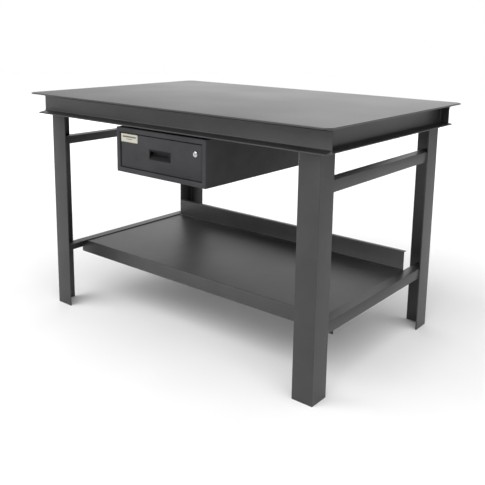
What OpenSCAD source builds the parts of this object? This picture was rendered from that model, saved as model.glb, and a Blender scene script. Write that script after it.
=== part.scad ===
// Welded steel workbench with a lower shelf and one lockable drawer.
// Millimetres. +Z is up, X runs along the bench and the front faces -Y.
// The origin is on the floor, under the middle of the top.

/* [Bench] */
// Length of the top along X
top_length = 1371.6; // [1140:0.1:1850]
// Depth of the top along Y
top_depth = 914.4; // [760:0.1:1220]
// Height of the work surface above the floor
bench_height = 863.6; // [700:0.1:1060]
// Thickness of the top plate
top_thick = 4.8; // [3:0.1:10]
// Length clipped off each corner of the top plate
top_clip = 19; // [4:0.5:25]
// How far the top plate overhangs the channel flanges
top_overhang = 25.4; // [12:0.1:45]

/* [Perimeter channel] */
// Height of the channel section
channel_h = 76.2; // [60:0.1:100]
// Width of its flanges
channel_flange = 35.8; // [30:0.1:45]
// Thickness of its web
channel_web = 4.3; // [3:0.1:7]
// Mean thickness of its flanges
channel_flange_thick = 6.9; // [5.5:0.1:9]
// Extra flange thickness at the web over the toe
channel_taper = 5.2; // [0:0.1:6]

/* [Legs and end rails] */
// Width of each leg flange
leg_w = 76.2; // [50:0.1:102]
// Thickness of the leg angle
leg_thick = 4.8; // [3:0.1:10]
// Width of each rail flange
rail_w = 38.1; // [25:0.1:51]
// Thickness of the rail angle
rail_thick = 3.2; // [2:0.1:6]
// Gap between a rail's end and the leg flange in front of it
rail_end_gap = 6; // [1:0.5:20]
// Height of the lower rails' top faces above the floor
lower_rail_top = 245; // [150:1:320]
// Distance from the channels' underside down to the upper rails' top faces
upper_rail_drop = 92; // [20:1:140]

/* [Shelf] */
// Thickness of the shelf sheet
shelf_thick = 2.7; // [1.5:0.1:5]
// Depth of the front lip, turned down
shelf_front_lip = 50.8; // [25:0.1:75]
// Depth of the rear lip, turned down
shelf_rear_lip = 25.4; // [15:0.1:50]
// Gap between the legs' edges and the shelf's front and rear, along Y
shelf_leg_gap = 43; // [10:0.5:80]
// Gap between the shelf's ends and the rails' upright flanges
shelf_end_gap = 1.6; // [0.5:0.1:5]
// Height of the backstop above the shelf
backstop_h = 71; // [40:0.5:120]
// Thickness of the backstop sheet
backstop_thick = 1.9; // [1.2:0.1:4]
// Width of the backstop's foot, turned forward on the shelf
backstop_foot = 16; // [8:0.5:30]
// Width of the backstop's top edge, turned back
backstop_lip = 16; // [8:0.5:30]
// Gap between the backstop's ends and the rails
backstop_end_gap = 5; // [1:0.5:20]

/* [Drawer housing] */
// Outside width of the housing
housing_w = 426; // [350:1:520]
// Outside depth of the housing, front to back
housing_d = 520; // [515:1:640]
// Outside height of the housing
housing_h = 160; // [130:1:195]
// Thickness of the housing sheet
housing_thick = 1.9; // [1:0.1:3]
// X of the housing's middle
drawer_x = 0; // [-150:0.1:150]
// How far the housing's front stands behind the channel's toe
housing_setback = 8; // [2:0.5:30]
// Gap between the channel's underside and the housing's top
housing_gap = 7.6; // [4:0.1:25]
// Width of the rim round the drawer opening
rim_w = 17.5; // [14:0.5:25]
// Depth of the rim's inward return, from the housing's front
rim_return = 26; // [20:0.5:30]
// Distance of each hanger from the housing's middle
hanger_offset = 150; // [110:1:155]
// Width of each hanger flange
hanger_flange = 32; // [25:0.5:38]
// Thickness of the hanger sheet
hanger_thick = 3; // [2:0.1:5]
// Length of each hanger
hanger_length = 420; // [300:1:460]
// Distance between the two bolts of a hanger
hanger_bolt_pitch = 340; // [200:1:380]
// Radius of the hanger bolts
bolt_r = 4; // [3:0.1:5]
// Radial clearance of the bolt holes
bolt_clear = 0.3; // [0.1:0.05:0.6]

/* [Drawer slides] */
// Length of the slide members
slide_length = 457; // [400:1:465]
// Height of the outer member
slide_h = 45; // [40:0.5:50]
// Thickness of a closed slide
slide_w = 12.7; // [12:0.1:14]
// Sheet thickness of the slide members
slide_thick = 1.2; // [0.9:0.1:1.5]
// Distance from the housing's front to the slides' front ends
slide_start = 30; // [30:0.5:34]
// Gap between the slides and the sides of the rim
slide_rim_gap = 0.8; // [0.5:0.1:2]

/* [Drawer] */
// Gap between the drawer front and the rim
front_gap = 2.5; // [1.5:0.1:4]
// How far the drawer front sits behind the rim's face
front_recess = 4; // [1:0.5:6]
// Depth of the drawer front, face to back
front_depth = 18; // [17:0.5:20]
// Sheet thickness of the drawer front
front_thick = 1.5; // [1:0.1:2]
// Width of the flanges at the back of the drawer front
front_flange = 26; // [22:0.5:30]
// Thickness of the tray sheet
tray_thick = 1.2; // [0.8:0.1:2]
// Length of the tray, front to back
tray_length = 465; // [410:1:475]
// Gap below the tray and above it, inside the opening
tray_gap = 9; // [5:0.5:14]
// Width of the finger pull's bezel
pull_w = 101; // [80:1:120]
// Height of the finger pull's bezel
pull_h = 34; // [28:0.5:42]
// Depth of the finger pull's pocket behind the face
pull_depth = 14; // [10:0.5:15]
// Width of the pull's bezel round its pocket
pull_bezel = 4; // [3:0.5:6]
// Width of the label plate
label_w = 84; // [50:1:100]
// Height of the label plate
label_h = 29; // [18:0.5:34]
// Thickness of the label plate
label_thick = 0.8; // [0.5:0.1:1.5]

/* [Lock] */
// Distance of the lock from the drawer front's right edge
lock_from_edge = 30; // [29:0.5:40]
// Distance of the lock from the drawer front's top edge
lock_from_top = 33; // [28:0.5:36]
// Radius of the lock's bezel
lock_bezel_r = 9.5; // [9:0.1:11]
// Radius of the lock's barrel
lock_barrel_r = 8; // [7.5:0.1:8.5]
// Radius of the bore that the plug turns in
lock_bore_r = 6; // [5:0.1:6.5]
// Running clearance between the plug and its bore
plug_clear = 0.05; // [0.02:0.01:0.1]
// Thickness of the lock's bezel
lock_bezel_thick = 2; // [1:0.1:3]
// Width across the flats of the lock's nut
lock_nut_af = 22; // [20:0.5:23]
// Thickness of the lock's nut
lock_nut_thick = 3.5; // [2.5:0.1:4]
// Reach of the cam past the rim's edge when it is locked
cam_engage = 8; // [5:0.5:11]
// Width of the cam
cam_w = 12; // [9:0.5:14]
// Thickness of the cam
cam_thick = 2; // [1.5:0.1:3]

/* [Hidden] */
$fn = 48;
// Length by which a cutting shape passes a face that it opens
cut = 1;

frame_grey = "#4b4d4e";
steel_zinc = "#b9bcbd";
chrome = "#d8dadb";
plastic_black = "#1b1c1d";
label_cream = "#d9d2b4";

// Frame: the channels' toes stand inside the top's edges, the legs inside the channels' webs
channel_top = bench_height - top_thick;
channel_bottom = channel_top - channel_h;
toe_x = top_length / 2 - top_overhang;
toe_y = top_depth / 2 - top_overhang;
leg_x = toe_x - channel_flange;
leg_y = toe_y - channel_flange;
rail_x = leg_x - leg_thick;
rail_length = 2 * (leg_y - leg_thick - rail_end_gap);
upper_rail_top = channel_bottom - upper_rail_drop;

// Shelf: its ends lie under the lower rails' top flanges
shelf_top = lower_rail_top - rail_thick;
shelf_length = 2 * (rail_x - rail_thick - shelf_end_gap);
shelf_y = leg_y - leg_w - shelf_leg_gap;
backstop_length = 2 * (rail_x - rail_w - backstop_end_gap);

// Housing: local X from its middle, Y from its front, Z from its bottom
housing_front_y = -toe_y + housing_setback;
housing_top = channel_bottom - housing_gap;
housing_bottom = housing_top - housing_h;
half_w = housing_w / 2;
opening_x = half_w - rim_w;
opening_top = housing_h - rim_w;
hanger_front = -leg_y + rail_end_gap;
hanger_h = channel_top - housing_top;
bolt_head_h = 5.3;
bolt_head_af = 13;
nut_h = 6.5;
nut_clear = 0.05;
bolt_standout = 2;

// Slides: each lies between the rim's side and the tray's side
slide_x = opening_x - slide_rim_gap;
tray_x = slide_x - slide_w;
slide_z = housing_h / 2;
member_step = 3.6;
outer_toe_x = slide_w - 3;
middle_web_x = slide_w / 2 - 1.5;
middle_toe_x = slide_w - 1.6;
middle_setback = 8;
inner_toe_x = slide_w / 2 + 0.5;
bracket_thick = 1.5;
bracket_h = 52;
bracket_setback = 40;
bracket_length = slide_length - bracket_setback;
screw_pitch = 128;
screw_r = 2;
screw_clear = 0.1;
screw_head_r = 3.6;
screw_head_h = 1.6;
screw_length = 5;

// Drawer: its front sits in the rim, its tray behind that
front_x = opening_x - front_gap;
front_bottom = rim_w + front_gap;
front_top = opening_top - front_gap;
tray_front = front_recess + front_depth;
tray_bottom = rim_w + tray_gap;
tray_top = opening_top - tray_gap - cam_engage;
pull_z = (front_bottom + front_top) / 2;
pull_wall = 1.5;
pull_clear = 0.4;
bezel_thick = 1.6;
label_inset = 1.5;

// Lock: its axis runs along Y, and the cam turns behind the rim's return
lock_x = front_x - lock_from_edge;
lock_z = front_top - lock_from_top;
lock_nut_r = lock_nut_af / sqrt(3);
lock_hole_clear = 0.2;
nut_front = tray_front + tray_thick;
barrel_back = nut_front + lock_nut_thick + 1;
cam_front = barrel_back + 0.4;
cam_reach = opening_top + housing_thick + cam_engage - lock_z;
plug_back = cam_front + cam_thick;
keyway_w = 1.6;
keyway_h = 7;
keyway_depth = 6;
cam_hub_r = 7.5;
cam_screw_r = 2.5;
cam_screw_depth = 8;

// Front screws: clear of the lock's nut, where the tray's front laps the drawer front's flanges
front_screw_gap = 6;
front_screw_x = lock_x - lock_nut_r - screw_head_r - front_screw_gap;
front_screw_z = [(tray_bottom + front_bottom + front_flange) / 2,
    (tray_top + front_top - front_flange) / 2];

// A box given by its limits on each axis
module block(x, y, z) {
    translate([x[0], y[0], z[0]])
        cube([x[1] - x[0], y[1] - y[0], z[1] - z[0]]);
}

// Angle section with its outer corner at the origin
module angle_section(width, thick) {
    polygon([[0, 0], [width, 0], [width, thick], [thick, thick], [thick, width], [0, width]]);
}

// Channel section: back of the web on X = 0, flanges towards +X, with tapered inner faces
module channel_section() {
    toe = channel_flange_thick - channel_taper / 2;
    root = channel_flange_thick + channel_taper / 2;
    polygon([[0, 0], [channel_flange, 0], [channel_flange, toe], [channel_web, root],
        [channel_web, channel_h - root], [channel_flange, channel_h - toe],
        [channel_flange, channel_h], [0, channel_h]]);
}

// The rear channel runs the full length; the front one mirrors it
module long_channel() {
    color(frame_grey)
        translate([0, leg_y, channel_bottom])
            rotate([90, 0, 90])
                linear_extrude(2 * toe_x, center = true)
                    channel_section();
}

// The right channel fits between the long ones; the left one mirrors it
module end_channel() {
    color(frame_grey)
        translate([leg_x, 0, channel_bottom])
            rotate([90, 0, 0])
                linear_extrude(2 * leg_y, center = true)
                    channel_section();
}

// The front left leg; the others mirror it
module leg() {
    color(frame_grey)
        translate([-leg_x, -leg_y, 0])
            linear_extrude(channel_top)
                angle_section(leg_w, leg_thick);
}

// A rail of the left end, inside the legs, its top flange towards the middle
module end_rail(top_z) {
    color(frame_grey)
        translate([-rail_x, 0, top_z])
            rotate([90, 0, 0])
                linear_extrude(rail_length, center = true)
                    mirror([0, 1])
                        angle_section(rail_w, rail_thick);
}

module top_plate() {
    color(frame_grey)
        translate([0, 0, channel_top])
            linear_extrude(top_thick)
                difference() {
                    square([top_length, top_depth], center = true);
                    for (sx = [-1, 1], sy = [-1, 1])
                        translate([sx * top_length / 2, sy * top_depth / 2])
                            rotate(45)
                                square(top_clip * sqrt(2), center = true);
                }
}

module front_channel() { mirror([0, 1, 0]) long_channel(); }
module rear_channel() { long_channel(); }
module left_channel() { mirror([1, 0, 0]) end_channel(); }
module right_channel() { end_channel(); }

module front_left_leg() { leg(); }
module front_right_leg() { mirror([1, 0, 0]) leg(); }
module rear_left_leg() { mirror([0, 1, 0]) leg(); }
module rear_right_leg() { mirror([1, 0, 0]) mirror([0, 1, 0]) leg(); }

module left_upper_rail() { end_rail(upper_rail_top); }
module right_upper_rail() { mirror([1, 0, 0]) end_rail(upper_rail_top); }
module left_lower_rail() { end_rail(lower_rail_top); }
module right_lower_rail() { mirror([1, 0, 0]) end_rail(lower_rail_top); }

module shelf_pan() {
    color(frame_grey)
        translate([0, 0, shelf_top])
            rotate([90, 0, 90])
                linear_extrude(shelf_length, center = true)
                    polygon([[-shelf_y, 0], [shelf_y, 0], [shelf_y, -shelf_rear_lip],
                        [shelf_y - shelf_thick, -shelf_rear_lip], [shelf_y - shelf_thick, -shelf_thick],
                        [-shelf_y + shelf_thick, -shelf_thick], [-shelf_y + shelf_thick, -shelf_front_lip],
                        [-shelf_y, -shelf_front_lip]]);
}

module shelf_backstop() {
    color(frame_grey)
        translate([0, shelf_y, shelf_top])
            rotate([90, 0, 90])
                linear_extrude(backstop_length, center = true)
                    polygon([[-backstop_foot, 0], [0, 0], [0, backstop_h - backstop_thick],
                        [backstop_lip, backstop_h - backstop_thick], [backstop_lip, backstop_h],
                        [-backstop_thick, backstop_h], [-backstop_thick, backstop_thick],
                        [-backstop_foot, backstop_thick]]);
}

// Moves its children into the housing's own frame
module at_housing() {
    translate([drawer_x, housing_front_y, housing_bottom])
        children();
}

// Stands its children at the four hanger bolts, on the housing's top
module at_hanger_bolts() {
    middle = hanger_front - housing_front_y + hanger_length / 2;
    for (sx = [-1, 1], sy = [-1, 1])
        translate([sx * hanger_offset, middle + sy * hanger_bolt_pitch / 2, housing_h])
            children();
}

module hexagon(across_flats, thick) {
    linear_extrude(thick)
        circle(r = across_flats / sqrt(3), $fn = 6);
}

module drawer_housing() {
    ring_x = opening_x + housing_thick;
    color(frame_grey)
        at_housing()
            difference() {
                union() {
                    difference() {
                        block([-half_w, half_w], [0, housing_d], [0, housing_h]);
                        block([-half_w + housing_thick, half_w - housing_thick],
                            [housing_thick, housing_d + cut],
                            [housing_thick, housing_h - housing_thick]);
                    }
                    block([-ring_x, ring_x], [0, rim_return],
                        [rim_w - housing_thick, opening_top + housing_thick]);
                }
                block([-opening_x, opening_x], [-cut, rim_return + cut], [rim_w, opening_top]);
                at_hanger_bolts()
                    cylinder(r = bolt_r + bolt_clear, h = 4 * housing_thick, center = true);
            }
}

module housing_back() {
    color(frame_grey)
        at_housing()
            block([-half_w + housing_thick, half_w - housing_thick],
                [housing_d - housing_thick, housing_d],
                [housing_thick, housing_h - housing_thick]);
}

// The right hanger: a Z section, its foot on the housing and its head under the top
module hanger() {
    color(frame_grey)
        at_housing()
            difference() {
                translate([hanger_offset, hanger_front - housing_front_y, housing_h])
                    rotate([90, 0, 0])
                        translate([0, 0, -hanger_length])
                            linear_extrude(hanger_length)
                                polygon([[-hanger_flange / 2, 0], [hanger_flange / 2, 0],
                                    [hanger_flange / 2, hanger_h - hanger_thick],
                                    [hanger_flange * 1.5 - hanger_thick, hanger_h - hanger_thick],
                                    [hanger_flange * 1.5 - hanger_thick, hanger_h],
                                    [hanger_flange / 2 - hanger_thick, hanger_h],
                                    [hanger_flange / 2 - hanger_thick, hanger_thick],
                                    [-hanger_flange / 2, hanger_thick]]);
                at_hanger_bolts()
                    cylinder(r = bolt_r + bolt_clear, h = 4 * hanger_thick, center = true);
            }
}

module mirror_housing() {
    translate([drawer_x, 0, 0])
        mirror([1, 0, 0])
            translate([-drawer_x, 0, 0])
                children();
}

module mirror_if(side) {
    if (side == 1)
        mirror_housing() children();
    else
        children();
}

module right_hanger() { hanger(); }
module left_hanger() { mirror_housing() hanger(); }

module hanger_bolts() {
    under = housing_thick + bolt_head_h;
    color(steel_zinc)
        at_housing()
            at_hanger_bolts()
                translate([0, 0, -under]) {
                    hexagon(bolt_head_af, bolt_head_h);
                    cylinder(r = bolt_r, h = under + hanger_thick + nut_h + bolt_standout);
                }
}

module hanger_nuts() {
    color(steel_zinc)
        at_housing()
            at_hanger_bolts()
                translate([0, 0, hanger_thick])
                    difference() {
                        hexagon(bolt_head_af, nut_h);
                        translate([0, 0, -cut])
                            cylinder(r = bolt_r + nut_clear, h = nut_h + 2 * cut);
                    }
}

// Runs a slide section along Y: section X from the slide's wall side inward, section Y up
module along_slide(start, length) {
    at_housing()
        translate([slide_x, start + length, slide_z])
            mirror([1, 0, 0])
                rotate([90, 0, 0])
                    linear_extrude(length)
                        children();
}

// A slide member: a C section from one side of the slide to the other
module member_section(web_x, toe_x, height) {
    side = toe_x > web_x ? 1 : -1;
    difference() {
        translate([min(web_x, toe_x), -height / 2])
            square([abs(toe_x - web_x), height]);
        translate([min(web_x + side * slide_thick, toe_x + side * cut), -height / 2 + slide_thick])
            square([abs(toe_x - web_x) - slide_thick + cut, height - 2 * slide_thick]);
    }
}

// Stands its children at the screws of a slide, pointing from the tray to the housing
module at_slide_screws(x) {
    for (i = [-1, 0, 1])
        at_housing()
            translate([x, slide_start + slide_length / 2 + i * screw_pitch, slide_z])
                rotate([0, 90, 0])
                    children();
}

module screw() {
    cylinder(r = screw_head_r, h = screw_head_h);
    cylinder(r = screw_r, h = screw_head_h + screw_length);
}

module slide_bracket() {
    wall_x = half_w - housing_thick;
    color(frame_grey)
        difference() {
            at_housing()
                translate([0, slide_start, slide_z - bracket_h / 2])
                    difference() {
                        block([slide_x, wall_x], [0, bracket_length], [0, bracket_h]);
                        block([slide_x + bracket_thick, wall_x + cut], [-cut, bracket_length + cut],
                            [bracket_thick, bracket_h - bracket_thick]);
                    }
            at_slide_screws(slide_x - cut)
                cylinder(r = screw_r + screw_clear, h = bracket_thick + 2 * cut);
        }
}

module slide_outer() {
    color(steel_zinc)
        difference() {
            along_slide(slide_start, slide_length)
                member_section(0, outer_toe_x, slide_h);
            at_slide_screws(slide_x - slide_thick - cut)
                cylinder(r = screw_r + screw_clear, h = slide_thick + 2 * cut);
        }
}

module slide_middle() {
    color(steel_zinc)
        along_slide(slide_start, slide_length - middle_setback)
            member_section(middle_web_x, middle_toe_x, slide_h - 2 * member_step);
}

module slide_inner() {
    color(steel_zinc)
        difference() {
            along_slide(slide_start, slide_length)
                member_section(slide_w, inner_toe_x, slide_h - 4 * member_step);
            at_slide_screws(tray_x - cut)
                cylinder(r = screw_r + screw_clear, h = slide_thick + 2 * cut);
        }
}

module right_slide_bracket() { slide_bracket(); }
module left_slide_bracket() { mirror_housing() slide_bracket(); }
module right_slide_outer() { slide_outer(); }
module left_slide_outer() { mirror_housing() slide_outer(); }
module right_slide_middle() { slide_middle(); }
module left_slide_middle() { mirror_housing() slide_middle(); }
module right_slide_inner() { slide_inner(); }
module left_slide_inner() { mirror_housing() slide_inner(); }

// Heads inside the outer members, shanks into the brackets
module right_outer_screws() {
    at_slide_screws(slide_x - slide_thick - screw_head_h)
        screw();
}

module slide_outer_screws() {
    color(steel_zinc) {
        right_outer_screws();
        mirror_housing() right_outer_screws();
    }
}

// Heads inside the tray, shanks through its side into the inner members
module right_inner_screws() {
    at_slide_screws(tray_x - tray_thick - screw_head_h)
        difference() {
            cylinder(r = screw_head_r, h = screw_head_h);
            translate([0, 0, -cut])
                cylinder(r = screw_r / 2, h = screw_head_h / 2 + cut, $fn = 6);
        }
    at_slide_screws(tray_x - tray_thick)
        cylinder(r = screw_r, h = tray_thick + slide_thick);
}

module slide_inner_screws() {
    color(steel_zinc) {
        right_inner_screws();
        mirror_housing() right_inner_screws();
    }
}

// Stands its children at the front screws, pointing from the tray to the face
module at_front_screws() {
    for (sx = [-1, 1], z = front_screw_z)
        at_housing()
            translate([sx * front_screw_x, tray_front + tray_thick + screw_head_h, z])
                rotate([90, 0, 0])
                    children();
}

// A hole along Y through the drawer's front sheets at the lock
module lock_hole(start, length) {
    at_housing()
        translate([lock_x, start, lock_z])
            rotate([-90, 0, 0])
                cylinder(r = lock_barrel_r + lock_hole_clear, h = length);
}

module drawer_tray() {
    color(frame_grey)
        difference() {
            at_housing()
                difference() {
                    block([-tray_x, tray_x], [tray_front, tray_front + tray_length], [tray_bottom, tray_top]);
                    block([-tray_x + tray_thick, tray_x - tray_thick],
                        [tray_front + tray_thick, tray_front + tray_length - tray_thick],
                        [tray_bottom + tray_thick, tray_top + cut]);
                }
            for (side = [0, 1])
                mirror_if(side)
                    at_slide_screws(tray_x - tray_thick - cut)
                        cylinder(r = screw_r + screw_clear, h = tray_thick + 2 * cut);
            at_front_screws()
                cylinder(r = screw_r + screw_clear, h = screw_head_h + tray_thick + cut);
            lock_hole(tray_front - cut, tray_thick + 2 * cut);
        }
}

module drawer_front() {
    back = tray_front;
    color(frame_grey)
        difference() {
            at_housing()
                difference() {
                    block([-front_x, front_x], [front_recess, back], [front_bottom, front_top]);
                    block([-front_x + front_thick, front_x - front_thick],
                        [front_recess + front_thick, back - front_thick],
                        [front_bottom + front_thick, front_top - front_thick]);
                    block([-front_x + front_flange, front_x - front_flange],
                        [back - 2 * front_thick, back + cut],
                        [front_bottom + front_flange, front_top - front_flange]);
                    block([-pull_w / 2 + pull_bezel - pull_clear, pull_w / 2 - pull_bezel + pull_clear],
                        [front_recess - cut, front_recess + front_thick + cut],
                        [pull_z - pull_h / 2 + pull_bezel - pull_clear,
                            pull_z + pull_h / 2 - pull_bezel + pull_clear]);
                }
            at_front_screws()
                cylinder(r = screw_r + screw_clear, h = screw_head_h + tray_thick + front_thick + cut);
            lock_hole(front_recess - cut, front_depth + 2 * cut);
        }
}

module front_screws() {
    color(steel_zinc)
        at_front_screws()
            screw();
}

// Finger pull: a bezel on the face and an open pocket behind it, with a sloped floor
module pull_cup() {
    half_bezel = pull_w / 2;
    pocket_x = half_bezel - pull_bezel;
    pocket_z = pull_h / 2 - pull_bezel;
    inner_x = pocket_x - pull_wall;
    inner_z = pocket_z - pull_wall;
    color(plastic_black)
        at_housing()
            translate([0, front_recess, pull_z])
                difference() {
                    union() {
                        block([-half_bezel, half_bezel], [-bezel_thick, 0], [-pull_h / 2, pull_h / 2]);
                        block([-pocket_x, pocket_x], [0, pull_depth], [-pocket_z, pocket_z]);
                    }
                    rotate([90, 0, 90])
                        translate([0, 0, -inner_x])
                            linear_extrude(2 * inner_x)
                                polygon([[-bezel_thick - cut, -inner_z], [0, -inner_z],
                                    [pull_depth - pull_wall, 0], [pull_depth - pull_wall, inner_z],
                                    [-bezel_thick - cut, inner_z]]);
                }
}

module label_plate() {
    color(label_cream)
        at_housing()
            block([-front_x + label_inset, -front_x + label_inset + label_w],
                [front_recess - label_thick, front_recess],
                [front_top - label_inset - label_h, front_top - label_inset]);
}

// Moves its children onto the lock's axis, with +Z running back from the drawer's face
module at_lock(start) {
    at_housing()
        translate([lock_x, start, lock_z])
            rotate([-90, 0, 0])
                children();
}

module lock_barrel() {
    color(chrome)
        difference() {
            union() {
                at_lock(front_recess - lock_bezel_thick)
                    cylinder(r = lock_bezel_r, h = lock_bezel_thick);
                at_lock(front_recess)
                    cylinder(r = lock_barrel_r, h = barrel_back - front_recess);
            }
            at_lock(front_recess - lock_bezel_thick - cut)
                cylinder(r = lock_bore_r, h = barrel_back - front_recess + lock_bezel_thick + 2 * cut);
        }
}

module lock_nut() {
    color(steel_zinc)
        at_lock(nut_front)
            difference() {
                hexagon(lock_nut_af, lock_nut_thick);
                translate([0, 0, -cut])
                    cylinder(r = lock_barrel_r + plug_clear, h = lock_nut_thick + 2 * cut);
            }
}

// The turning plug, with its keyway upright when the lock is open
module lock_plug() {
    face = front_recess - lock_bezel_thick;
    color(chrome)
        difference() {
            at_lock(face)
                cylinder(r = lock_bore_r - plug_clear, h = cam_front - face);
            at_lock(face - cut)
                translate([-keyway_w / 2, -keyway_h / 2, 0])
                    cube([keyway_w, keyway_h, keyway_depth + cut]);
            at_lock(cam_front - cam_screw_depth)
                cylinder(r = cam_screw_r, h = cam_screw_depth + cut);
        }
}

// The cam points towards the drawer's middle when the lock is open
module lock_cam() {
    color(steel_zinc)
        at_lock(cam_front)
            difference() {
                union() {
                    cylinder(r = cam_hub_r, h = cam_thick);
                    translate([-cam_reach, -cam_w / 2, 0])
                        cube([cam_reach, cam_w, cam_thick]);
                }
                translate([0, 0, -cut])
                    cylinder(r = cam_screw_r + screw_clear, h = cam_thick + 2 * cut);
            }
}

module cam_screw() {
    color(steel_zinc) {
        at_lock(cam_front - cam_screw_depth)
            cylinder(r = cam_screw_r, h = cam_screw_depth + cam_thick);
        at_lock(plug_back)
            cylinder(r = 2 * cam_screw_r, h = screw_head_h);
    }
}

top_plate();
front_channel();
rear_channel();
left_channel();
right_channel();
front_left_leg();
front_right_leg();
rear_left_leg();
rear_right_leg();
left_upper_rail();
right_upper_rail();
left_lower_rail();
right_lower_rail();
shelf_pan();
shelf_backstop();
drawer_housing();
housing_back();
left_hanger();
right_hanger();
hanger_bolts();
hanger_nuts();
left_slide_bracket();
right_slide_bracket();
left_slide_outer();
right_slide_outer();
slide_outer_screws();
left_slide_middle();
right_slide_middle();
left_slide_inner();
right_slide_inner();
slide_inner_screws();
drawer_tray();
drawer_front();
front_screws();
pull_cup();
label_plate();
lock_barrel();
lock_nut();
lock_plug();
lock_cam();
cam_screw();
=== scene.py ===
from math import cos, pi, radians, sin, sqrt

import bmesh
import bpy
from bpy.props import FloatProperty, FloatVectorProperty, IntProperty, PointerProperty
from bpy.types import Operator, Panel, PropertyGroup
from mathutils import Matrix, Vector


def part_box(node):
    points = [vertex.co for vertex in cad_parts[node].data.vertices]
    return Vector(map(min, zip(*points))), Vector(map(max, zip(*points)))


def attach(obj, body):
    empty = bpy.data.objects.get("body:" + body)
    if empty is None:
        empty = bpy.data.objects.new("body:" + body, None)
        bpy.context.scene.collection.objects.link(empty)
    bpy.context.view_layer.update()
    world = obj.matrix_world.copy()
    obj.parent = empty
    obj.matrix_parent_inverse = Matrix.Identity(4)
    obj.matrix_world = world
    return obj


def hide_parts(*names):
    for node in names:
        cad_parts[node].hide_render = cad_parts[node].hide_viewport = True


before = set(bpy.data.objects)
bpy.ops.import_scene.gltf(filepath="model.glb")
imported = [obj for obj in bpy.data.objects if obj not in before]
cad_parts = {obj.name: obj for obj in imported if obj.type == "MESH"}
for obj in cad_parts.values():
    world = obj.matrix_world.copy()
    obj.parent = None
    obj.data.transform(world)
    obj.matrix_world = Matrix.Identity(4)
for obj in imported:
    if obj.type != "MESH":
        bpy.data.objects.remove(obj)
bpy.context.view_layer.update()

bl_info = {
    "name": "Steel Workbench With Drawer",
    "version": (1, 0, 0),
    "blender": (4, 5, 0),
    "location": "3D View > Sidebar > Workbench",
    "description": "Dresses the workbench's frame in rolled sections, folded sheet, welds and finishes",
    "category": "Object",
}

MM = 0.001
X, Y, Z = 0, 1, 2

# Corners closer than MERGE are one, and faces that meet flatter than FLAT are one face
MERGE = 0.01 * MM
FLAT = radians(0.5)
# Edges sharper than this are rounded
SHARP = radians(25)
# An edge runs along an axis when this share of its length does
PARALLEL = 0.999
# How finely round shapes are drawn: the floor, the lock's bezel and the label card's corners
FLOOR_SIDES, BEZEL_STEPS, CARD_CORNER_STEPS = 96, 64, 5

# The axis that each rolled section runs along
SECTIONS = {
    "front_channel": X, "rear_channel": X, "left_channel": Y, "right_channel": Y,
    "front_left_leg": Z, "front_right_leg": Z, "rear_left_leg": Z, "rear_right_leg": Z,
    "left_upper_rail": Y, "right_upper_rail": Y, "left_lower_rail": Y, "right_lower_rail": Y,
}
# The thickness of each folded sheet, in millimetres
SHELF_SHEETS = {"shelf_pan": 2.7, "shelf_backstop": 1.9}
HOUSING_SHEETS = {
    "drawer_housing": 1.9, "housing_back": 1.9, "left_hanger": 3, "right_hanger": 3,
    "left_slide_bracket": 1.5, "right_slide_bracket": 1.5,
}
DRAWER_SHEETS = {"drawer_tray": 1.2, "drawer_front": 1.5}
# A face narrower than CUT_FACE thicknesses is a sheet's cut edge, and a cut edge shorter than
# SHORT_CUT thicknesses stays sharp
CUT_FACE = 1.6
SHORT_CUT = 3

# The body that each set of screws or bolts rides on
FASTENERS = {
    "hanger_bolts": "bench", "hanger_nuts": "bench", "slide_outer_screws": "bench",
    "slide_inner_screws": "drawer", "front_screws": "drawer", "cam_screw": "lock",
}
# The body that each member of a slide rides on
SLIDE_MEMBERS = {"outer": "bench", "middle": "{side}_middle", "inner": "drawer"}

# The label's plain printed bars: the height of each one's middle, its width and its height, as
# shares of the card
LABEL_BARS = ((0.66, 0.8, 0.2), (0.38, 0.34, 0.09))

# The colour sockets of a Mix node, which share their names with its number and vector sockets
COLOUR_A, COLOUR_B, COLOUR_OUT = 6, 7, 2
# A noise seldom leaves this range
NOISE_RANGE = {"From Min": 0.3, "From Max": 0.7}


def linear(hex_colour):
    """A linear colour from an sRGB hex value."""
    parts = [int(hex_colour[i:i + 2], 16) / 255 for i in (1, 3, 5)]
    return tuple(p / 12.92 if p <= 0.04045 else ((p + 0.055) / 1.055) ** 2.4 for p in parts)


def colour_prop(name, description, hex_colour):
    return FloatVectorProperty(name=name, description=description, default=linear(hex_colour),
                               size=3, min=0, max=1, subtype="COLOR")


def length_prop(name, description, millimetres):
    return FloatProperty(name=name, description=description, default=millimetres * MM,
                         min=0, subtype="DISTANCE", unit="LENGTH")


def share_prop(name, description, share):
    return FloatProperty(name=name, description=description, default=share,
                         min=0, max=1, subtype="FACTOR")


def angle_prop(name, description, degrees):
    return FloatProperty(name=name, description=description, default=radians(degrees),
                         subtype="ANGLE", unit="ROTATION")


def place_prop(name, description, place):
    return FloatVectorProperty(name=name, description=description, default=place, size=3,
                               subtype="TRANSLATION", unit="LENGTH")


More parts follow.
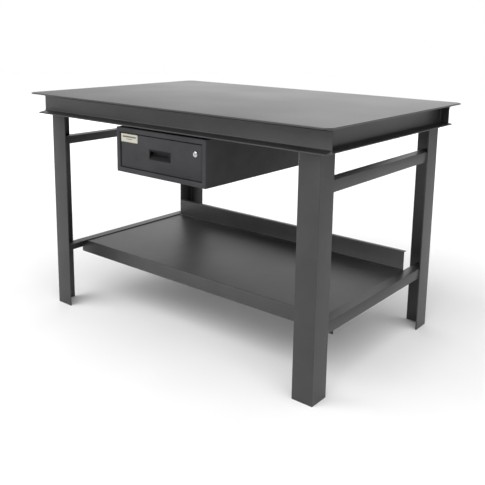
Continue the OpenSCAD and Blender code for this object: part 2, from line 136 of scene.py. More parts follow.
class WorkbenchFinishes(PropertyGroup):
    coat: colour_prop("Coat", "Dark grey powder coat of the frame", "#2F2F30")
    coat_top: colour_prop("Top coat", "Powder coat of the work surface", "#3A3A3B")
    coat_shelf: colour_prop("Shelf coat", "Powder coat of the shelf", "#363637")
    # A lighter copy of the frame's grey, which with its low sheen paints the drawer's light and shade: a
    # lit front and shaded sides
    coat_drawer_with_painted_shade: colour_prop("Drawer coat", "Powder coat of the drawer and its housing", "#38383A")
    dull: share_prop("Coat roughness", "Roughness of the frame's coat", 0.4)
    dull_top: share_prop("Top roughness", "Roughness of the work surface's coat", 0.36)
    dull_shelf: share_prop("Shelf roughness", "Roughness of the shelf's coat", 0.42)
    dull_drawer: share_prop("Drawer roughness", "Roughness of the drawer's coat", 0.45)
    zinc: colour_prop("Zinc", "Bright zinc plate of the bolts and screws", "#B9BDBF")
    slide_steel: colour_prop("Slide steel", "Zinc plate of the rolled slides", "#A9ADAF")
    chrome: colour_prop("Chrome", "Chrome plate of the lock", "#C4C6C8")
    plastic: colour_prop("Plastic", "Black moulded finger pull", "#0A0A0B")
    card: colour_prop("Card", "Cream label card", "#BBB8AA")
    card_print: colour_prop("Card print", "Printed border and bars of the label card", "#605F58")
    peel: length_prop("Orange peel", "Size of the powder coat's ripples", 4)
    cloud: length_prop("Coat cloud", "Size of the patches in which the coat's grey varies", 90)


class WorkbenchEdges(PropertyGroup):
    section_root: length_prop("Section root", "Fillet inside the rolled channels and angles", 5)
    section_toe: length_prop("Section toe", "Rounding of the flanges' inner toe edges", 2)
    section_heel: length_prop("Section heel", "Rounding of the sections' outer corners", 1)
    saw_cut: length_prop("Saw cut", "Deburred edge of a sawn end", 0.4)
    plate_edge: length_prop("Plate edge", "Rounding of the work surface's edges", 0.8)
    bend_inside: length_prop("Bend inside", "Inside radius of a fold in sheet", 1)
    sheet_cut: length_prop("Sheet cut", "Rounding of the sheared edges of sheet", 0.3)
    slide: length_prop("Slide edge", "Rounding of the rolled slides' edges", 0.4)
    moulded: length_prop("Moulded edge", "Rounding of the finger pull's edges", 0.65)
    turned: length_prop("Turned edge", "Rounding of the lock's plug and nut", 0.15)
    stamped: length_prop("Stamped edge", "Rounding of the lock's cam", 0.3)
    fastener: length_prop("Fastener edge", "Rounding of the screws and bolts", 0.2)


class WorkbenchLabel(PropertyGroup):
    corner: length_prop("Corner", "Radius of the label card's corners", 2)
    margin: length_prop("Margin", "Width of the plain margin outside the printed border", 1.1)
    border: length_prop("Border", "Width of the printed border", 0.5)
    ink: length_prop("Ink", "How far the printed bars stand proud of the card", 0.05)


class WorkbenchWelds(PropertyGroup):
    leg: length_prop("Weld leg", "Leg length of the frame's fillet welds", 4)
    light_leg: length_prop("Light weld leg", "Leg length of the fillet welds on sheet", 2.2)
    ripple: length_prop("Ripple", "Pitch of the ripples along a bead", 2.6)
    sides: IntProperty(name="Sides", description="Faces round a bead", default=12, min=6, max=24)
    leg_run: length_prop("Leg run", "Length of the weld across a face of a leg", 62)
    web_run: length_prop("Web run", "Length of the weld down a channel's web", 54)
    rail_run: length_prop("Rail run", "Length of the weld down the end of a rail", 32)
    top_stitch: length_prop("Top stitch", "Length of the stitch welds under the top", 45)
    shelf_stitch: length_prop("Shelf stitch", "Length of the stitch welds at the shelf's ends", 30)
    stop_stitch: length_prop("Backstop stitch", "Length of the backstop's stitch welds", 22)


class WorkbenchStage(PropertyGroup):
    lens: FloatProperty(name="Lens", description="Camera focal length", default=51.3, min=1,
                        unit="CAMERA")
    sensor: FloatProperty(name="Sensor", description="Width of the camera's sensor in millimetres",
                          default=36, min=1)
    shift: FloatProperty(name="Shift", description="Vertical lens shift that keeps the legs upright",
                         default=-0.1701)
    heading: angle_prop("Heading", "Camera direction, turned from the depth axis", -39.04)
    pitch: angle_prop("Pitch", "Downward tilt of the camera", 11.01)
    roll: angle_prop("Roll", "Camera roll", 0.85)
    stand: place_prop("Stand", "Camera position", (1.6556, -2.0182, 1.1305))
    floor: colour_prop("Floor", "Pale studio floor", "#F2F2F2")
    floor_radius: length_prop("Floor radius", "Radius of the studio floor", 14000)
    backdrop: FloatProperty(name="Backdrop", description="Brightness of the white backdrop that is seen",
                            default=1, min=0)
    surround: FloatProperty(name="Surround", description="Light that the studio's walls give",
                            default=0.22, min=0)
    aim: place_prop("Aim", "Point that the lights face", (0, 0, 0.5))
    softness: angle_prop("Softness", "Angle that the key and fill lights spread over", 70)
    key: FloatProperty(name="Key", description="Soft light from the front left", default=2.2, min=0)
    key_place: place_prop("Key place", "Where the key light comes from", (-1.6, -3.6, 3.3))
    fill: FloatProperty(name="Fill", description="Soft light from the right", default=2, min=0)
    fill_place: place_prop("Fill place", "Where the fill light comes from", (2.4, -1.4, 5.3))
    panel: FloatProperty(name="Panel", description="Power of the panel that the top mirrors",
                         default=150, min=0, unit="POWER")
    panel_place: place_prop("Panel place", "Where the panel stands", (-4.4, 4.1, 2.4))
    panel_width: length_prop("Panel width", "Width of the panel", 9000)
    panel_height: length_prop("Panel height", "Height of the panel", 5000)


class WorkbenchSettings(PropertyGroup):
    finishes: PointerProperty(type=WorkbenchFinishes, name="Finishes",
                              description="Colours, roughness and the coat's grain")
    edges: PointerProperty(type=WorkbenchEdges, name="Edges", description="Edge roundings")
    label: PointerProperty(type=WorkbenchLabel, name="Label", description="Label card")
    welds: PointerProperty(type=WorkbenchWelds, name="Welds", description="Weld bead sizes")
    stage: PointerProperty(type=WorkbenchStage, name="Stage", description="Camera, floor and light")


def settings():
    return bpy.context.scene.workbench


# Materials

def add_node(owner, kind, values=None, links=None, **attributes):
    """Adds a shader node; values set its sockets and links join them to other nodes' outputs."""
    node = owner.node_tree.nodes.new(kind)
    for key, value in attributes.items():
        setattr(node, key, value)
    for socket, value in (values or {}).items():
        node.inputs[socket].default_value = value
    for socket, (source, output) in (links or {}).items():
        owner.node_tree.links.new(source.outputs[output], node.inputs[socket])
    return node


def finish(name, colour, patterns, shades, gloss=None, bumps=(), shader=None):
    """A material whose noise patterns vary its colour and its gloss and raise its surface.

    A pattern has a size in metres, a detail, and may have a rough and a stretch. Shades and gloss
    are (pattern, lowest, highest): factors of the colour, and roughness. A bump is (pattern,
    strength, height).
    """
    if name in bpy.data.materials:
        return bpy.data.materials[name]
    material = bpy.data.materials.new(name)
    material.use_nodes = True
    material.node_tree.nodes.clear()
    coords = add_node(material, "ShaderNodeTexCoord")
    drawn = {}
    for key, pattern in patterns.items():
        place = add_node(material, "ShaderNodeMapping", {"Scale": pattern.get("stretch", (1, 1, 1))},
                         {"Vector": (coords, "Object")})
        noise = add_node(material, "ShaderNodeTexNoise",
                         {"Scale": 1 / pattern["size"], "Detail": pattern["detail"],
                          "Roughness": pattern.get("rough", 0.5)},
                         {"Vector": (place, "Vector")})
        drawn[key] = (noise, "Fac")

    pattern, darkest, lightest = shades
    tones = [tuple(min(1, part * factor) for part in colour) + (1,) for factor in (darkest, lightest)]
    blend = add_node(material, "ShaderNodeMapRange", NOISE_RANGE, {"Value": drawn[pattern]},
                     interpolation_type="SMOOTHSTEP")
    mix = add_node(material, "ShaderNodeMix", {COLOUR_A: tones[0], COLOUR_B: tones[1]},
                   {"Factor": (blend, "Result")}, data_type="RGBA")
    links = {"Base Color": (mix, COLOUR_OUT)}
    if gloss:
        pattern, lowest, highest = gloss
        rough = add_node(material, "ShaderNodeMapRange",
                         {**NOISE_RANGE, "To Min": lowest, "To Max": highest},
                         {"Value": drawn[pattern]}, interpolation_type="SMOOTHSTEP")
        links["Roughness"] = (rough, "Result")
    for pattern, strength, height in bumps:
        under = {"Normal": links["Normal"]} if "Normal" in links else {}
        bump = add_node(material, "ShaderNodeBump", {"Strength": strength, "Distance": height},
                        {"Height": drawn[pattern], **under})
        links["Normal"] = (bump, "Normal")
    surface = add_node(material, "ShaderNodeBsdfPrincipled", shader, links)
    add_node(material, "ShaderNodeOutputMaterial", links={"Surface": (surface, "BSDF")})
    return material


def powder_coat(name, colour, roughness, specular=0.5):
    """Powder-coated steel, baked polyester: an even satin skin with a fine orange peel, a little
    glossier in some patches than in others, and a faint cloudiness in the grey."""
    finishes = settings().finishes
    patterns = {
        "cloud": {"size": finishes.cloud, "detail": 4, "rough": 0.55},
        "patch": {"size": finishes.cloud * 4, "detail": 2},
        # Sheet and rolled sections are never quite flat, which bends long reflections
        "sway": {"size": finishes.cloud * 5, "detail": 1},
        # The real peel is about 2 mm across, and is drawn twice as coarse so that it shows
        "peel": {"size": finishes.peel, "detail": 3, "rough": 0.6},
    }
    return finish(name, colour, patterns, shades=("cloud", 0.88, 1.12),
                  gloss=("patch", roughness - 0.02, roughness + 0.02),
                  bumps=(("sway", 0.5, 0.2 * MM), ("peel", 0.9, 0.22 * MM)),
                  shader={"IOR": 1.5, "Specular IOR Level": specular})


def frame_coat():
    finishes = settings().finishes
    return powder_coat("dark grey powder coat", finishes.coat, finishes.dull)


def shelf_coat():
    finishes = settings().finishes
    return powder_coat("dark grey powder coat, shelf", finishes.coat_shelf, finishes.dull_shelf)


def drawer_coat_with_painted_shade():
    """A lighter copy of the frame's grey, a little duller and with little sheen, so that the drawer's
    front reads lit and its sides, which mirror little of the floor, read shaded: painted light and shade
    carried in the coat's colour and gloss.
    """
    finishes = settings().finishes
    return powder_coat("dark grey powder coat, drawer, with painted light and shade", finishes.coat_drawer_with_painted_shade, finishes.dull_drawer,
                       specular=0.15)


def zinc_plate():
    """Electroplated bright zinc on machined steel: pale, faintly bluish, with cloudy gloss."""
    return finish("zinc plated steel", settings().finishes.zinc,
                  {"cloud": {"size": 4 * MM, "detail": 3}},
                  shades=("cloud", 0.85, 1), gloss=("cloud", 0.26, 0.4),
                  bumps=(("cloud", 0.3, 0.05 * MM),), shader={"Metallic": 1})


def rolled_slide_steel():
    """Roll-formed, zinc-plated slide steel: fine streaks along the slide from the rollers."""
    # Real streaks are about 0.2 mm wide, and are drawn coarser so that they show
    patterns = {"streak": {"size": 1.5 * MM, "detail": 3, "stretch": (1, 1 / 60, 1)},
                "cloud": {"size": 30 * MM, "detail": 3}}
    return finish("rolled slide steel", settings().finishes.slide_steel, patterns,
                  shades=("cloud", 0.85, 1), gloss=("streak", 0.25, 0.45),
                  bumps=(("streak", 0.3, 0.04 * MM),), shader={"Metallic": 1})


def chrome_plate():
    """Chrome-plated zinc casting: a bright mirror with faint polishing haze."""
    return finish("chrome plate", settings().finishes.chrome,
                  {"haze": {"size": 2 * MM, "detail": 3}},
                  shades=("haze", 0.94, 1), gloss=("haze", 0.08, 0.18),
                  bumps=(("haze", 0.2, 0.02 * MM),), shader={"Metallic": 1})


def moulded_abs():
    """Injection-moulded black ABS with a spark-eroded grain: deep black and dull."""
    # The real grain is about 0.1 mm across, and is drawn coarser so that it shows
    patterns = {"grain": {"size": 0.8 * MM, "detail": 2}, "wear": {"size": 12 * MM, "detail": 3}}
    return finish("black moulded ABS", settings().finishes.plastic, patterns,
                  shades=("wear", 0.85, 1.3), gloss=("wear", 0.5, 0.62),
                  bumps=(("grain", 0.4, 0.06 * MM),),
                  shader={"IOR": 1.53, "Specular IOR Level": 0.2})


def label_card(name, colour):
    """Printed card under a clear film: even, with faint fibres and a smooth low gloss."""
    # Real fibres are far finer, and are drawn coarser so that they show
    patterns = {"fibre": {"size": 0.9 * MM, "detail": 3, "stretch": (1 / 6, 1, 1)}}
    return finish(name, colour, patterns, shades=("fibre", 0.95, 1), gloss=("fibre", 0.38, 0.48),
                  bumps=(("fibre", 0.2, 0.02 * MM),), shader={"IOR": 1.49})


def studio_paint():
    """Matt emulsion on the studio floor: pale, with a soft roller mottle."""
    return finish("matt studio paint", settings().stage.floor,
                  {"mottle": {"size": 300 * MM, "detail": 2}}, shades=("mottle", 0.985, 1),
                  shader={"Roughness": 0.9, "Specular IOR Level": 0.1})


# Shaping

def merged_copy(node):
    """A node's shape with its loose triangles merged and its flat faces joined."""
    bm = bmesh.new()
    bm.from_mesh(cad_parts[node].data)
    bmesh.ops.remove_doubles(bm, verts=bm.verts, dist=MERGE)
    bmesh.ops.dissolve_limit(bm, angle_limit=FLAT, verts=bm.verts, edges=bm.edges,
                             use_dissolve_boundaries=False)
    return bm


def place_piece(name, bm, body, materials, node=None):
    """Makes an object of a bmesh, gives it to its body and hides the node that it stands for."""
    mesh = bpy.data.meshes.new(name)
    bm.to_mesh(mesh)
    bm.free()
    mesh.polygons.foreach_set("use_smooth", [True] * len(mesh.polygons))
    piece = bpy.data.objects.new(name, mesh)
    bpy.context.scene.collection.objects.link(piece)
    for material in materials:
        mesh.materials.append(material)
    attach(piece, body)
    if node:
        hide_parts(node)
    return piece


def fold(edge):
    """The angle at an edge: above zero where the solid stands out, below where it turns in."""
    return edge.calc_face_angle_signed(0)


def width_of(face):
    """How wide a long face is: about its narrow side."""
    return 2 * face.calc_area() / face.calc_perimeter()


def along(edge, axis):
    run = edge.verts[1].co - edge.verts[0].co
    return abs(run[axis]) > PARALLEL * run.length


def rolled_radius(edge, axis):
    """The rounding of an edge of a hot-rolled section that runs along an axis."""
    edges = settings().edges
    if not along(edge, axis):
        return edges.saw_cut
    if fold(edge) < 0:
        return edges.section_root
    # A toe's edge shares a face with the root, and a heel's doesn't
    inner = [fold(other) < -SHARP and along(other, axis)
             for face in edge.link_faces for other in face.edges]
    return edges.section_toe if any(inner) else edges.section_heel


def sheet_radius(edge, thick):
    """The rounding of an edge of folded sheet: a bend between two wide faces, or a cut edge."""
    edges = settings().edges
    if any(width_of(face) < CUT_FACE * thick for face in edge.link_faces):
        return edges.sheet_cut if edge.calc_length() > SHORT_CUT * thick else 0
    return edges.bend_inside + (thick if fold(edge) > 0 else 0)


def slide_radius(edge):
    """The rounding of a slide's edge; the shortest edges stay sharp."""
    radius = settings().edges.slide
    return radius if edge.calc_length() > radius * 2 else 0


def rounded_piece(name, node, body, material, radius_of, segments=3):
    """A piece that stands for a CAD node, with each sharp edge rounded by the rule's radius."""
    bm = merged_copy(node)
    weights = bm.edges.layers.float.new("bevel_weight_edge")
    radii = {edge: radius_of(edge) for edge in bm.edges if abs(fold(edge)) > SHARP}
    widest = max(radii.values())
    for edge, radius in radii.items():
        edge[weights] = radius / widest
        edge.smooth = radius > 0
    piece = place_piece(name, bm, body, [material], node)
    bevel = piece.modifiers.new("rounded edges", "BEVEL")
    bevel.limit_method = "WEIGHT"
    bevel.offset_type = "OFFSET"
    bevel.width = widest
    bevel.segments = segments
    bevel.profile = 0.5
    bevel.use_clamp_overlap = False
    bevel.harden_normals = True
    bevel.miter_outer = "MITER_SHARP"
    return piece


def folded_sheets(sheets, body, material):
    """Pieces of folded sheet, each node with its own thickness in millimetres."""
    for node, thick in sheets.items():
        rounded_piece(node + "_folded", node, body, material,
                      lambda edge, thick=thick * MM: sheet_radius(edge, thick))


class WORKBENCH_OT_top(Operator):
    """Rounds the steel plate's edges and coats it"""
    bl_idname = "workbench.top"
    bl_label = "Work surface"

    def execute(self, context):
        finishes = settings().finishes
        coat = powder_coat("dark grey powder coat, top", finishes.coat_top, finishes.dull_top)
        rounded_piece("work_surface_plate", "top_plate", "bench", coat,
                      lambda edge: settings().edges.plate_edge)
        return {"FINISHED"}


class WORKBENCH_OT_sections(Operator):
    """Makes the rolled channels, legs and rails with their root fillets and rounded toes"""
    bl_idname = "workbench.sections"
    bl_label = "Rolled sections"

    def execute(self, context):
        for node, axis in SECTIONS.items():
            rounded_piece(node + "_rolled", node, "bench", frame_coat(),
                          lambda edge, axis=axis: rolled_radius(edge, axis))
        return {"FINISHED"}


class WORKBENCH_OT_shelf(Operator):
    """Folds the shelf and its backstop from sheet"""
    bl_idname = "workbench.shelf"
    bl_label = "Shelf"

    def execute(self, context):
        folded_sheets(SHELF_SHEETS, "bench", shelf_coat())
        return {"FINISHED"}


class WORKBENCH_OT_housing(Operator):
    """Folds the drawer's housing, its back, its hangers and the brackets of its slides"""
    bl_idname = "workbench.housing"
    bl_label = "Drawer housing"

    def execute(self, context):
        folded_sheets(HOUSING_SHEETS, "bench", drawer_coat_with_painted_shade())
        return {"FINISHED"}


class WORKBENCH_OT_slides(Operator):
    """Rolls the three members of each drawer slide"""
    bl_idname = "workbench.slides"
    bl_label = "Drawer slides"

    def execute(self, context):
        for side in ("left", "right"):
            for member, body in SLIDE_MEMBERS.items():
                node = f"{side}_slide_{member}"
                rounded_piece(node + "_rolled", node, body.format(side=side),
                              rolled_slide_steel(), slide_radius)
        return {"FINISHED"}


class WORKBENCH_OT_drawer(Operator):
    """Folds the drawer's tray and its hollow front"""
    bl_idname = "workbench.drawer"
    bl_label = "Drawer"

    def execute(self, context):
        folded_sheets(DRAWER_SHEETS, "drawer", drawer_coat_with_painted_shade())
        return {"FINISHED"}


class WORKBENCH_OT_pull(Operator):
    """Moulds the finger pull"""
    bl_idname = "workbench.pull"
    bl_label = "Finger pull"

    def execute(self, context):
        rounded_piece("finger_pull_moulded", "pull_cup", "drawer", moulded_abs(),
                      lambda edge: settings().edges.moulded)
        return {"FINISHED"}


def add_block(bm, middle, size):
    """Adds a block to a bmesh and returns its corners."""
    corners = bmesh.ops.create_cube(bm, size=1)["verts"]
    bmesh.ops.scale(bm, vec=size, verts=corners)
    bmesh.ops.translate(bm, vec=middle, verts=corners)
    return corners


class WORKBENCH_OT_label(Operator):
    """Cuts the blank label card with round corners, a printed border and two plain bars"""
    bl_idname = "workbench.label"
    bl_label = "Label card"

    def execute(self, context):
        finishes, label = settings().finishes, settings().label
        low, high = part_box("label_plate")
        size, middle = high - low, (low + high) / 2
        bm = bmesh.new()
        add_block(bm, middle, size)
        bmesh.ops.bevel(bm, geom=[edge for edge in bm.edges if along(edge, Y)], offset=label.corner,
                        offset_type="OFFSET", affect="EDGES", segments=CARD_CORNER_STEPS,
                        profile=0.5, material=-1)
        face = min(bm.faces, key=lambda face: face.calc_center_median().y)
        bmesh.ops.inset_individual(bm, faces=[face], thickness=label.margin, use_even_offset=True)
        border = bmesh.ops.inset_individual(bm, faces=[face], thickness=label.border,
                                            use_even_offset=True)
        printed = set(border["faces"])
        for rise, wide, tall in LABEL_BARS:
            bar = add_block(bm, (middle.x, low.y + label.ink, low.z + size.z * rise),
                            (size.x * wide, 4 * label.ink, size.z * tall))
            printed.update(face for corner in bar for face in corner.link_faces)
        for face in printed:
            face.material_index = 1
        piece = place_piece("blank_label_card", bm, "drawer",
                            [label_card("cream label card", finishes.card),
                             label_card("printed label border", finishes.card_print)],
                            "label_plate")
        for polygon in piece.data.polygons:
            polygon.use_smooth = False
        return {"FINISHED"}


def turned_bezel():
    """The lock's barrel and bezel, turned in one: a flat ring that slopes away to a thin rim."""
    low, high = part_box("lock_barrel")
    plug_low, plug_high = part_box("lock_plug")
    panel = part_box("drawer_front")[0].y
    running_gap, mouth, ring = 0.05 * MM, 0.3 * MM, 1.1 * MM
    slope, lip, shoulder = 1.1 * MM, 0.4 * MM, 1.5 * MM
    bore = (plug_high.x - plug_low.x) / 2 + running_gap
    rim = (high.x - low.x) / 2
    barrel = rim - shoulder
    # Radius and depth, from the back of the bore round its mouth and the rim to the barrel's back
    profile = [(bore, high.y), (bore, low.y + mouth), (bore + mouth, low.y), (bore + ring, low.y),
               (rim - lip, low.y + slope), (rim, low.y + slope + lip), (rim, panel),
               (barrel, panel), (barrel, high.y)]
    bm = bmesh.new()
    middle = Vector(((low.x + high.x) / 2, 0, (low.z + high.z) / 2))
    verts = [bm.verts.new(middle + Vector((radius, depth, 0))) for radius, depth in profile]
    for start, end in zip(verts, verts[1:] + verts[:1]):
        bm.edges.new((start, end))
    bmesh.ops.spin(bm, geom=bm.verts[:] + bm.edges[:], cent=middle, axis=(0, 1, 0), angle=2 * pi,
                   steps=BEZEL_STEPS, use_merge=True)
    bmesh.ops.remove_doubles(bm, verts=bm.verts, dist=MERGE)
    bmesh.ops.recalc_face_normals(bm, faces=bm.faces)
    for edge in bm.edges:
        edge.smooth = abs(fold(edge)) < SHARP
    return place_piece("lock_bezel_turned", bm, "drawer", [chrome_plate()],
                       "lock_barrel")


class WORKBENCH_OT_lock(Operator):
    """Turns the lock's bezel, plug, nut and cam"""
    bl_idname = "workbench.lock"
    bl_label = "Cam lock"

    def execute(self, context):
        turned_bezel()
        rounded_piece("lock_plug_turned", "lock_plug", "lock", chrome_plate(),
                      lambda edge: settings().edges.turned)
        rounded_piece("lock_nut_milled", "lock_nut", "drawer", zinc_plate(),
                      lambda edge: settings().edges.turned)
        rounded_piece("lock_cam_stamped", "lock_cam", "lock", zinc_plate(),
                      lambda edge: settings().edges.stamped)
        return {"FINISHED"}


class WORKBENCH_OT_fasteners(Operator):
    """Rounds the screws and bolts and plates them"""
    bl_idname = "workbench.fasteners"
    bl_label = "Screws and bolts"

    def execute(self, context):
        for node, body in FASTENERS.items():
            rounded_piece(node + "_plated", node, body, zinc_plate(),
                          lambda edge: settings().edges.fastener, segments=2)
        return {"FINISHED"}


# Welds

# The shape of a bead: how deep its ripples are, how thin its ends are, how much flatter its face is
# than its back, and how far its ripples bow towards the weld's start, all as shares of its leg
RIPPLE_DEPTH = 0.14
END_SIZE = 0.35
FLATTENING = 0.22
BOW = 0.3
RINGS_A_RIPPLE = 4

# Clear of the channels' root fillets, and of the rails' own corners
CLEAR_OF_ROOT = 9 * MM
CLEAR_OF_CORNER = 2 * MM
CHANNEL_WEB = 4.3 * MM
# The plate's weld stops short of the backstop, at the rear of the shelf
CLEAR_OF_STOP = 40 * MM
# Stitches along the top's long and short sides, the shelf's ends and the backstop
LONG_STITCHES, SHORT_STITCHES, SHELF_STITCHES, STOP_STITCHES = 6, 4, 4, 5


def bead_mesh(length, leg):
    """A weld bead along Z, centred on its middle: a tube with ripples and rounded ends."""
    welds = settings().welds
    bm = bmesh.new()
    bmesh.ops.create_cone(bm, cap_ends=True, segments=welds.sides, radius1=leg, radius2=leg,
                          depth=length)
    ripples = max(2, round(length / welds.ripple))
    bmesh.ops.subdivide_edges(bm, edges=[edge for edge in bm.edges if along(edge, Z)],
                              cuts=RINGS_A_RIPPLE * ripples - 1, use_grid_fill=True)
    for vert in bm.verts:
        place = vert.co.z / length + 0.5
        ripple = 1 - RIPPLE_DEPTH + RIPPLE_DEPTH * abs(sin(pi * ripples * place))
        from_end = min(1, max(0, length / 2 - abs(vert.co.z)) / leg)
        taper = END_SIZE + (1 - END_SIZE) * sqrt(1 - (1 - from_end) ** 2)
        outward = max(0, vert.co.x) / leg
        vert.co.x *= ripple * taper * (1 - FLATTENING * outward)
        vert.co.y *= ripple * taper
        vert.co.z -= BOW * leg * outward * (1 - abs(2 * place - 1))
    return bm


def lay_bead(whole, spare, start, end, outward, leg):
    """Adds a bead from start to end, in the corner that faces outward."""
    axis = (end - start).normalized()
    facing = outward.normalized()
    bm = bead_mesh((end - start).length, leg)
    turn = Matrix((facing, axis.cross(facing), axis)).transposed().to_4x4()
    bmesh.ops.transform(bm, matrix=Matrix.Translation((start + end) / 2) @ turn, verts=bm.verts)
    bmesh.ops.recalc_face_normals(bm, faces=bm.faces)
    bm.to_mesh(spare)
    bm.free()
    whole.from_mesh(spare)


def stitches(start, end, count, length):
    """The ends of evenly spaced stitch welds along a seam."""
    run = end - start
    half = run.normalized() * length / 2
    for i in range(count):
        middle = start + run * ((i + 0.5) / count)
        yield middle - half, middle + half


def weld_piece(name, material, leg, seams):
    """One piece with the beads of several seams, each (start, end, outward, count, length)."""
    whole = bmesh.new()
    spare = bpy.data.meshes.new("spare")
    for start, end, outward, count, length in seams:
        for bead_start, bead_end in stitches(Vector(start), Vector(end), count, length):
            lay_bead(whole, spare, bead_start, bead_end, Vector(outward), leg)
    bpy.data.meshes.remove(spare)
    return place_piece(name, whole, "bench", [material])


def frame_seams():
    """The seams between the legs, the channels, the rails and the plate."""
    welds = settings().welds
    leg_low, leg_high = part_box("front_right_leg")
    channel_low, channel_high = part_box("rear_channel")
    side_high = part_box("right_channel")[1]
    under, over = channel_low.z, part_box("top_plate")[0].z
    # The legs' outer faces, and their toes on the end rails' sides
    side, rear = leg_high.x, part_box("rear_right_leg")[1].y
    toe = rear - (leg_high.x - leg_low.x)
    for sx in (-1, 1):
        for sy in (-1, 1):
            # Each leg's two faces to the undersides of the channels
            yield ((sx * leg_low.x, sy * rear, under), (sx * side, sy * rear, under),
                   (0, sy, -1), 1, welds.leg_run)
            yield ((sx * side, sy * toe, under), (sx * side, sy * rear, under),
                   (sx, 0, -1), 1, welds.leg_run)
            # Long channels to the end channels, down the web
            corner = sx * (side + CHANNEL_WEB)
            yield ((corner, sy * rear, under + CLEAR_OF_ROOT), (corner, sy * rear, over - CLEAR_OF_ROOT),
                   (sx, -sy, 0), 1, welds.web_run)
            # Rails to the legs' toes
            for rail in ("right_upper_rail", "right_lower_rail"):
                rail_low, rail_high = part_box(rail)
                yield ((sx * rail_high.x, sy * toe, rail_low.z + CLEAR_OF_CORNER),
                       (sx * rail_high.x, sy * toe, rail_high.z - CLEAR_OF_CORNER),
                       (sx, -sy, 0), 1, welds.rail_run)
        # Plate to the channels' toes
        yield ((sx * side_high.x, -rear, over), (sx * side_high.x, rear, over),
               (sx, 0, -1), SHORT_STITCHES, welds.top_stitch)
    for sy in (-1, 1):
        yield ((-side, sy * channel_high.y, over), (side, sy * channel_high.y, over),
               (0, sy, -1), LONG_STITCHES, welds.top_stitch)


def shelf_seams():
    """The seams between the shelf, the lower rails and the backstop."""
    welds = settings().welds
    shelf_low, shelf_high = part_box("shelf_pan")
    stop_low, stop_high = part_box("shelf_backstop")
    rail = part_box("right_lower_rail")[0].x
    face = shelf_high.z
    for sx in (-1, 1):
        yield ((sx * rail, shelf_low.y, face), (sx * rail, shelf_high.y - CLEAR_OF_STOP, face),
               (-sx, 0, 1), SHELF_STITCHES, welds.shelf_stitch)
    yield ((stop_low.x, stop_low.y, face), (stop_high.x, stop_low.y, face),
           (0, -1, 1), STOP_STITCHES, welds.stop_stitch)


class WORKBENCH_OT_welds(Operator):
    """Lays the weld beads of the frame and the shelf"""
    bl_idname = "workbench.welds"
    bl_label = "Welds"

    def execute(self, context):
        welds = settings().welds
        weld_piece("frame_welds", frame_coat(), welds.leg, frame_seams())
        weld_piece("shelf_welds", shelf_coat(), welds.light_leg, shelf_seams())
        return {"FINISHED"}


# Stage

def studio_world():
    """A white backdrop that is seen, and duller walls that light the bench."""
    stage = settings().stage
    world = bpy.data.worlds.new("white studio")
    world.use_nodes = True
    world.node_tree.nodes.clear()
    white = (1, 1, 1, 1)
    walls = add_node(world, "ShaderNodeBackground", {"Color": white, "Strength": stage.surround})
    backdrop = add_node(world, "ShaderNodeBackground", {"Color": white, "Strength": stage.backdrop})
    seen = add_node(world, "ShaderNodeLightPath")
    both = add_node(world, "ShaderNodeMixShader",
                    links={0: (seen, "Is Camera Ray"), 1: (walls, "Background"),
                           2: (backdrop, "Background")})
    add_node(world, "ShaderNodeOutputWorld", links={"Surface": (both, "Shader")})
    bpy.context.scene.world = world


def hang_light(name, kind, energy, place):
    """A light at a place, turned to the bench and unseen by the camera."""
    light = bpy.data.lights.new(name, kind)
    light.energy = energy
    lamp = bpy.data.objects.new(name, light)
    lamp.location = place
    ahead = Vector(settings().stage.aim) - Vector(place)
    lamp.rotation_euler = ahead.to_track_quat("-Z", "Y").to_euler()
    lamp.visible_camera = False
    bpy.context.scene.collection.objects.link(lamp)
    return light


def set_camera():
    stage = settings().stage
    lens = bpy.data.cameras.new("camera")
    lens.sensor_width = stage.sensor
    lens.lens = stage.lens
    lens.shift_y = stage.shift
    lens.dof.use_dof = False
    camera = bpy.data.objects.new("camera", lens)
    ahead = Vector((sin(stage.heading) * cos(stage.pitch), cos(stage.heading) * cos(stage.pitch),
                    -sin(stage.pitch)))
    right = Vector((cos(stage.heading), -sin(stage.heading), 0))
    up = right.cross(ahead)
    across = right * cos(stage.roll) + up * sin(stage.roll)
    upward = up * cos(stage.roll) - right * sin(stage.roll)
    camera.matrix_world = (Matrix.Translation(stage.stand)
                           @ Matrix((across, upward, -ahead)).transposed().to_4x4())
    bpy.context.scene.collection.objects.link(camera)
    bpy.context.scene.camera = camera


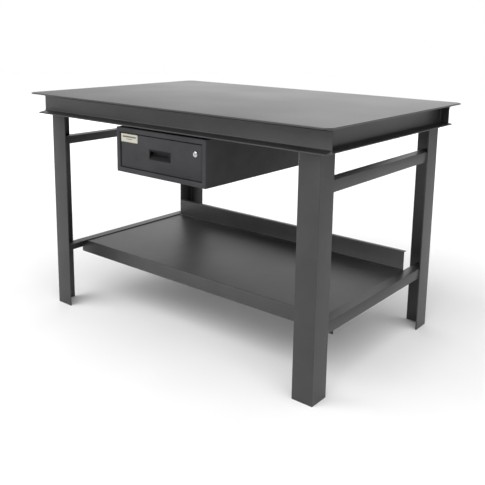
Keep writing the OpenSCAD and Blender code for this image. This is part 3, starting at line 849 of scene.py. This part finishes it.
class WORKBENCH_OT_stage(Operator):
    """Makes the pale floor, the soft studio light and the camera"""
    bl_idname = "workbench.stage"
    bl_label = "Stage"

    def execute(self, context):
        scene, stage = context.scene, settings().stage
        bm = bmesh.new()
        bmesh.ops.create_circle(bm, cap_ends=True, segments=FLOOR_SIDES, radius=stage.floor_radius)
        mesh = bpy.data.meshes.new("studio_floor")
        bm.to_mesh(mesh)
        bm.free()
        mesh.materials.append(studio_paint())
        floor = bpy.data.objects.new("studio_floor", mesh)
        scene.collection.objects.link(floor)

        studio_world()
        hang_light("key_light", "SUN", stage.key, stage.key_place).angle = stage.softness
        hang_light("fill_light", "SUN", stage.fill, stage.fill_place).angle = stage.softness
        panel = hang_light("rear_panel", "AREA", stage.panel, stage.panel_place)
        panel.shape = "RECTANGLE"
        panel.size = stage.panel_width
        panel.size_y = stage.panel_height
        set_camera()
        scene.view_settings.view_transform = "Standard"
        return {"FINISHED"}


class WORKBENCH_PT_pieces(Panel):
    """Lists the workbench's pieces, its stage, and their sizes and colours"""
    bl_idname = "WORKBENCH_PT_pieces"
    bl_label = "Workbench"
    bl_space_type = "VIEW_3D"
    bl_region_type = "UI"
    bl_category = "Workbench"

    def draw(self, context):
        for operator in OPERATORS:
            self.layout.operator(operator.bl_idname)
        for group in WorkbenchSettings.__annotations__:
            box = self.layout.box()
            values = getattr(context.scene.workbench, group)
            for value in values.__annotations__:
                box.prop(values, value)


OPERATORS = (WORKBENCH_OT_top, WORKBENCH_OT_sections, WORKBENCH_OT_shelf, WORKBENCH_OT_housing,
             WORKBENCH_OT_slides, WORKBENCH_OT_drawer, WORKBENCH_OT_pull, WORKBENCH_OT_label,
             WORKBENCH_OT_lock, WORKBENCH_OT_fasteners, WORKBENCH_OT_welds, WORKBENCH_OT_stage)
CLASSES = (WorkbenchFinishes, WorkbenchEdges, WorkbenchLabel, WorkbenchWelds, WorkbenchStage,
           WorkbenchSettings, *OPERATORS, WORKBENCH_PT_pieces)


def register():
    for cls in CLASSES:
        bpy.utils.register_class(cls)
    bpy.types.Scene.workbench = PointerProperty(type=WorkbenchSettings, name="Workbench",
                                                description="Sizes and colours of the workbench")


def unregister():
    del bpy.types.Scene.workbench
    for cls in reversed(CLASSES):
        bpy.utils.unregister_class(cls)


def main():
    register()
    for operator in OPERATORS:
        group, name = operator.bl_idname.split(".")
        getattr(getattr(bpy.ops, group), name)()


if __name__ == "__main__":
    main()
